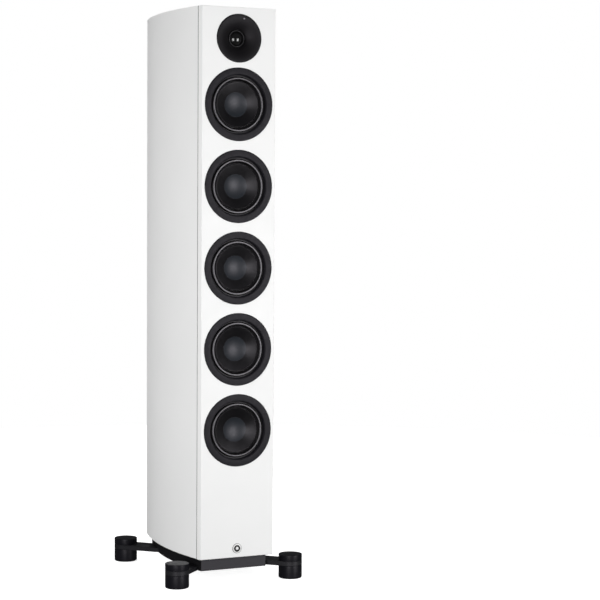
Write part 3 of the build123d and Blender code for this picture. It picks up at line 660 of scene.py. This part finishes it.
def finish_mesh(name, shape, centre=(0, 0, 0)):
    """A smooth-shaded object from a bmesh, with its real corners kept sharp."""
    mesh = bpy.data.meshes.new(name)
    shape.to_mesh(mesh)
    shape.free()
    mesh.shade_smooth()
    mesh.set_sharp_from_angle(angle=math.radians(SHARP_ANGLE))
    piece = bpy.data.objects.new(name, mesh)
    piece.location = centre
    bpy.context.collection.objects.link(piece)
    return piece


def fit(piece, body, slot, *nodes):
    """Put a piece on its body, in its finish, in place of its CAD nodes."""
    piece.data.materials.append(materials[slot])
    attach(piece, body)
    if nodes:
        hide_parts(*nodes)
    return piece


def joined(name, pieces):
    """Several new objects made into one."""
    shape = bmesh.new()
    for piece in pieces:
        piece.data.transform(Matrix.Translation(piece.location))
        shape.from_mesh(piece.data)
        mesh = piece.data
        bpy.data.objects.remove(piece)
        bpy.data.meshes.remove(mesh)
    return finish_mesh(name, shape)


# ---------------------------------------------------------------- woofers

# Depths are behind the baffle's face and radii are from the driver's axis, in millimetres.
TRIM_INNER, TRIM_OUTER, TRIM_FRONT, TRIM_SEAT, TRIM_SKIRT = 59.0, 74.9, -1.0, 2.5, 2.5
SURROUND_DEPTH, SURROUND_THICKNESS = 6.0, 0.8
ROLL_CENTRE, ROLL_RADIUS = 53.2, 3.6
ROLL_CROWN, GROOVE_DEPTH, GROOVE_RADIUS, GROOVE_THICKNESS = 1.5, 10.6, 47.6, 0.6
CONE_RIM, CONE_THICKNESS, CONE_BEND, CONE_NECK, CONE_NECK_DEPTH = 45.6, 1.0, 6.2, 16.4, 20.0
CAP_RADIUS, CAP_DEPTH, CAP_SINK, CAP_THICKNESS = 25.3, 15.2, 6.0, 0.8

# The trim ring's step and bevel: how deep each is, and how far each corner is from the inner edge.
STEP_DEPTH, BEVEL_DEPTH = 1.4, 4.2
FACE_EDGE, STEP_OUTER, STEP_INNER = 2.8, 2.0, 1.6

# The roll's shoulders: how far behind the crown they are, and how far inside the roll's sides.
SHOULDER_DEPTH, SHOULDER_INSET = 1.6, 0.4

# How far behind the surround's back its lip, the cone's rim and the cone's middle lie.
LIP_SINK, RIM_SINK, BEND_SINK = 0.8, 0.9, CONE_BEND + 0.5


def driver_centre(node):
    """The point where a driver's axis meets the plane of the baffle's face."""
    return Vector((0, FRONT_Y, middle(node).z))


def trim_ring(centre):
    """A flat band with an eased outer edge, a fine step, and a deep skirt."""
    step, skirt = TRIM_FRONT + STEP_DEPTH, TRIM_INNER + TRIM_SKIRT
    corners = [
        (TRIM_SEAT, TRIM_OUTER, 0),
        (TRIM_FRONT, TRIM_OUTER, 0.8),
        (TRIM_FRONT, TRIM_INNER + FACE_EDGE, 0.2),
        (step, TRIM_INNER + STEP_OUTER, 0.2),
        (step, TRIM_INNER + STEP_INNER, 0.1),
        (TRIM_FRONT + BEVEL_DEPTH, TRIM_INNER, 0.2),
        (SURROUND_DEPTH, TRIM_INNER, 0),
        (SURROUND_DEPTH, skirt, 0),
        (TRIM_SEAT, skirt, 0),
    ]
    return lathe("trim_ring", rounded(corners), centre)


def surround(name, centre):
    """A rubber roll with a flat crown, and a groove down to the cone inside it. It ends at the basket's
    mouth, so that it travels through it."""
    front, back = SURROUND_DEPTH, SURROUND_DEPTH + SURROUND_THICKNESS
    crown = front - ROLL_RADIUS
    crown_inside = crown + SURROUND_THICKNESS
    outer_side, inner_side = ROLL_CENTRE + ROLL_RADIUS, ROLL_CENTRE - ROLL_RADIUS
    slope, shoulder = crown + SHOULDER_DEPTH, ROLL_RADIUS - SHOULDER_INSET
    groove_back = GROOVE_DEPTH + GROOVE_THICKNESS
    corners = [
        (front, outer_side, 0.2),
        (slope, ROLL_CENTRE + shoulder, 1.2),
        (crown, ROLL_CENTRE + ROLL_CROWN, 1.6),
        (crown, ROLL_CENTRE - ROLL_CROWN, 1.6),
        (slope, ROLL_CENTRE - shoulder, 1.2),
        (front, inner_side, 0.3),
        (GROOVE_DEPTH, GROOVE_RADIUS, 0.2),
        (back + LIP_SINK, CONE_RIM, 0.1),
        (groove_back, CONE_RIM, 0),
        (groove_back, GROOVE_RADIUS + GROOVE_THICKNESS, 0),
        (back, inner_side + SURROUND_THICKNESS, 0.4),
        (crown_inside, ROLL_CENTRE - ROLL_CROWN, 1.0),
        (crown_inside, ROLL_CENTRE + ROLL_CROWN, 1.0),
        (back, outer_side - SURROUND_THICKNESS, 0.4),
        (back, outer_side, 0),
    ]
    return lathe(name, rounded(corners), centre)


def cone(name, centre):
    """A shallow cone, nearly straight, whose rim stands inside the surround's groove."""
    front = SURROUND_DEPTH + SURROUND_THICKNESS
    rim, neck = (front + RIM_SINK, CONE_RIM), (CONE_NECK_DEPTH, CONE_NECK)
    bend = (front + BEND_SINK, (CONE_RIM + CONE_NECK) / 2)
    behind = [(depth + CONE_THICKNESS, radius) for depth, radius in (neck, bend, rim)]
    corners = [
        (*rim, 0.25),
        *arc(rim, bend, neck, 28),
        (*neck, 0),
        (*behind[0], 0),
        *arc(*behind, 20),
        (*behind[2], 0),
    ]
    return lathe(name, rounded(corners), centre)


def dust_cap(name, centre):
    """A shallow dish over the voice coil, glued in the cone."""
    middle_depth = CAP_DEPTH + CAP_SINK
    rim, back_rim = (CAP_DEPTH, CAP_RADIUS), (CAP_DEPTH + CAP_THICKNESS, CAP_RADIUS)
    back_middle = (middle_depth + CAP_THICKNESS, 0)
    corners = [
        (middle_depth, 0, 0),
        *arc((middle_depth, 0), on_dome(middle_depth, *rim), rim, 24),
        (*rim, 0.25),
        (*back_rim, 0),
        *arc(back_rim, on_dome(back_middle[0], *back_rim), back_middle, 14),
        (*back_middle, 0),
    ]
    return lathe(name, rounded(corners), centre)


def on_dome(crown, rim_depth, rim_radius):
    """A point halfway along a spherical dome or dish, from its middle on the axis to its rim."""
    rise = rim_depth - crown
    sphere = (rise**2 + rim_radius**2) / (2 * abs(rise))
    angle = math.asin(rim_radius / sphere) / 2
    along = crown + math.copysign(sphere * (1 - math.cos(angle)), rise)
    return (along, sphere * math.sin(angle))


def make_woofers():
    """The five woofers' visible pieces. The trim rings are one node, so they are one piece."""
    rings = []
    for woofer in WOOFERS:
        centre = driver_centre(f"{woofer}_cone")
        body = f"{woofer}_diaphragm"
        rings.append(trim_ring(centre))
        fit(surround(f"{woofer}_rubber_surround", centre), body, "surround_rubber", f"{woofer}_surround")
        fit(cone(f"{woofer}_moulded_cone", centre), body, "cone_black", f"{woofer}_cone")
        fit(dust_cap(f"{woofer}_dished_cap", centre), body, "dust_cap_black", f"{woofer}_dust_cap")
    fit(joined("trim_rings", rings), "cabinet", "trim_black", "woofer_trim_rings")


# ---------------------------------------------------------------- tweeter

PLATE_RADIUS, PLATE_FRONT, PLATE_SEAT = 49.5, -0.8, 4.0
MOUTH_RADIUS, THROAT_RADIUS, THROAT_DEPTH, PLATE_BACK = 46.0, 19.2, 11.6, 15.4
MOTOR_RADIUS, PLATE_NECK_RADIUS = 31.0, 36.0
CLAMP_INNER, CLAMP_OUTER, CLAMP_FRONT, CLAMP_BACK = 15.4, 17.1, 12.3, 14.8
DISH_BEND = 2.6
DOME_RADIUS, DOME_RIM, DOME_CROWN, DOME_THICKNESS = 13.4, 14.4, 8.4, 0.3
LENS_DEPTH = 2.9

# The dome's roll of cloth: its crown, the two faces of its lip, and the two faces of its glued edge.
CLOTH_CROWN, LIP_FRONT, LIP_BACK, EDGE_FRONT, EDGE_BACK = 13.4, 14.9, 15.3, 14.3, 14.6
CLOTH_INNER, CLOTH_OUTER, CLOTH_FOOT = 14.3, 15.2, 15.3


def tweeter_faceplate(centre):
    """A round plate whose dish narrows to the dome's opening."""
    mouth, throat = (PLATE_FRONT, MOUTH_RADIUS), (THROAT_DEPTH, THROAT_RADIUS)
    bend = (DISH_BEND, (MOUTH_RADIUS + THROAT_RADIUS) / 2)
    corners = [
        (PLATE_SEAT, PLATE_RADIUS, 0),
        (PLATE_FRONT, PLATE_RADIUS, 0.8),
        (*mouth, 0.6),
        *arc(mouth, bend, throat, 36),
        (*throat, 0.3),
        (PLATE_BACK, THROAT_RADIUS, 0),
        (PLATE_BACK, MOTOR_RADIUS, 0),
        (PLATE_SEAT, PLATE_NECK_RADIUS, 0),
    ]
    return lathe("tweeter_dish", rounded(corners), centre, segments=192)


def clamp_ring(centre):
    """The thin ring that holds the dome's roll down."""
    corners = [
        (CLAMP_BACK, CLAMP_INNER, 0),
        (CLAMP_FRONT, CLAMP_INNER, 0.7),
        (CLAMP_FRONT, CLAMP_OUTER, 0.7),
        (CLAMP_BACK, CLAMP_OUTER, 0),
    ]
    return lathe("tweeter_clamp_ring", rounded(corners), centre)


def tweeter_roll(centre):
    """A small raised roll round the dome, whose lip reaches out under the ring to the throat."""
    lip = THROAT_RADIUS - 0.1
    corners = [
        (LIP_FRONT, lip, 0),
        (LIP_FRONT, CLOTH_FOOT, 0.2),
        (CLOTH_CROWN, CLOTH_OUTER, 0.5),
        (CLOTH_CROWN, CLOTH_INNER, 0.4),
        (EDGE_FRONT, DOME_RADIUS, 0.2),
        (EDGE_BACK, DOME_RADIUS, 0),
        (LIP_BACK, CLOTH_OUTER, 0.2),
        (LIP_BACK, lip, 0),
    ]
    return lathe("tweeter_roll", rounded(corners), centre)


def dome(centre):
    """A thin domed shell."""
    rim, inner_rim = (DOME_RIM, DOME_RADIUS), (DOME_RIM, DOME_RADIUS - 0.5)
    inner_crown = DOME_CROWN + DOME_THICKNESS
    corners = [
        (DOME_CROWN, 0, 0),
        *arc((DOME_CROWN, 0), on_dome(DOME_CROWN, *rim), rim, 24),
        (*rim, 0),
        (*inner_rim, 0),
        *arc(inner_rim, on_dome(inner_crown, *inner_rim), (inner_crown, 0), 14),
        (inner_crown, 0, 0),
    ]
    return lathe("tweeter_gloss_dome", rounded(corners), centre)


def indicator_lens():
    """The status light's lens, with an eased front edge."""
    low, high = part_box("status_indicator")
    centre = Vector((middle("status_indicator").x, low.y, middle("status_indicator").z))
    radius = (high.x - low.x) / 2 / MM
    corners = [(0, 0, 0), (0, radius, 0.5), (LENS_DEPTH, radius, 0), (LENS_DEPTH, 0, 0)]
    return lathe("indicator_lens", rounded(corners), centre, segments=48)


def make_tweeter():
    """The tweeter's dish, clamp ring, roll, dome and indicator."""
    centre = driver_centre("tweeter_faceplate")
    fit(tweeter_faceplate(centre), "cabinet", "faceplate_black", "tweeter_faceplate")
    fit(clamp_ring(centre), "cabinet", "ring_metal", "tweeter_retaining_ring")
    fit(tweeter_roll(centre), "cabinet", "tweeter_surround_cloth", "tweeter_surround")
    fit(dome(centre), "tweeter_diaphragm", "dome_black", "tweeter_dome")
    fit(indicator_lens(), "cabinet", "indicator_lens", "status_indicator")


# ---------------------------------------------------------------- badge


def make_badge():
    """A dark disc with a plain bright ring and a small centre dot, which stand for no mark."""
    low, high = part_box("badge")
    centre = Vector((0, low.y, middle("badge").z))
    radius, thickness = (high.x - low.x) / 2 / MM, (high.y - low.y) / MM
    disc = [(0, 0, 0), (0, radius, 0.5), (thickness, radius, 0), (thickness, 0, 0)]
    fit(lathe("badge_disc", rounded(disc), centre), "cabinet", "badge_black", "badge")


# ---------------------------------------------------------------- feet

# Heights are above the floor and radii are from the foot's axis, in millimetres.
FOOT_RADIUS, FOOT_HEIGHT, CAP_TOP = 24.6, 27.5, 50.3
STUD_RADIUS, STUD_TOP, THREAD_PITCH, THREAD_DEPTH = 5.0, 47.0, 1.5, 0.7

# How far the stud reaches down into the foot, and how much narrower its tip is.
STUD_REACH, STUD_TAPER = 2, 1

# The cap's clearance over the arm, and the shadow line under its rim: its depth and two heights.
CAP_CLEARANCE, LINE_DEPTH, LINE_TOP, RIM_BOTTOM = 0.1, 0.9, 0.7, 0.9


def foot(name, centre):
    """A turned foot with an eased bottom edge, and its threaded stud."""
    corners = [(0, 0, 0), (0, FOOT_RADIUS, 3.0), (FOOT_HEIGHT, FOOT_RADIUS, 0.5), (FOOT_HEIGHT, 0, 0)]
    shell = lathe(name, rounded(corners), centre, upright=True)
    level = FOOT_HEIGHT - STUD_REACH
    thread = [(level, 0, 0)]
    while level < STUD_TOP - THREAD_PITCH:
        thread.append((level, STUD_RADIUS - THREAD_DEPTH, 0))
        thread.append((level + THREAD_PITCH / 2, STUD_RADIUS, 0.1))
        level += THREAD_PITCH
    thread.append((STUD_TOP, STUD_RADIUS - STUD_TAPER, 0))
    thread.append((STUD_TOP, 0, 0))
    stud = lathe("stud", rounded(thread, steps=1), centre, upright=True, segments=48)
    return joined(name, [shell, stud])


def foot_cap(name, centre):
    """The round cap above the arm, with a fine shadow line under its rim."""
    bottom = ARM_LEVEL[1].z / MM + CAP_CLEARANCE
    line_radius = FOOT_RADIUS - LINE_DEPTH
    corners = [
        (bottom, 0, 0),
        (bottom, line_radius, 0),
        (bottom + LINE_TOP, line_radius, 0),
        (bottom + RIM_BOTTOM, FOOT_RADIUS, 0.2),
        (CAP_TOP, FOOT_RADIUS, 0.9),
        (CAP_TOP, 0, 0),
    ]
    return lathe(name, rounded(corners), centre, upright=True)


def make_feet():
    """Each corner's foot on its leveller, and its cap."""
    for corner in CORNERS:
        at = middle(f"{corner}_foot")
        centre = Vector((at.x, at.y, 0))
        fit(foot(f"{corner}_turned_foot", centre), f"{corner}_leveller", "foot_metal", f"{corner}_foot")
        cap_piece = foot_cap(f"{corner}_turned_cap", centre)
        fit(cap_piece, f"{corner}_locking_cap", "foot_metal", f"{corner}_foot_cap")


# ---------------------------------------------------------------- the CAD nodes' own finishes


def finish_cad_nodes():
    """Give every CAD node its slot's detailed finish."""
    for entry in frame["record"]["subparts"]:
        node = frame["nodes"][entry["node"]]
        node.data.materials.clear()
        node.data.materials.append(materials[entry["material_slot"]])


make_camera()
make_world()
make_lights()
materials = make_materials()
make_floor()
finish_cad_nodes()
make_woofers()
make_tweeter()
make_badge()
make_feet()

bpy.context.scene.view_settings.view_transform = "Standard"
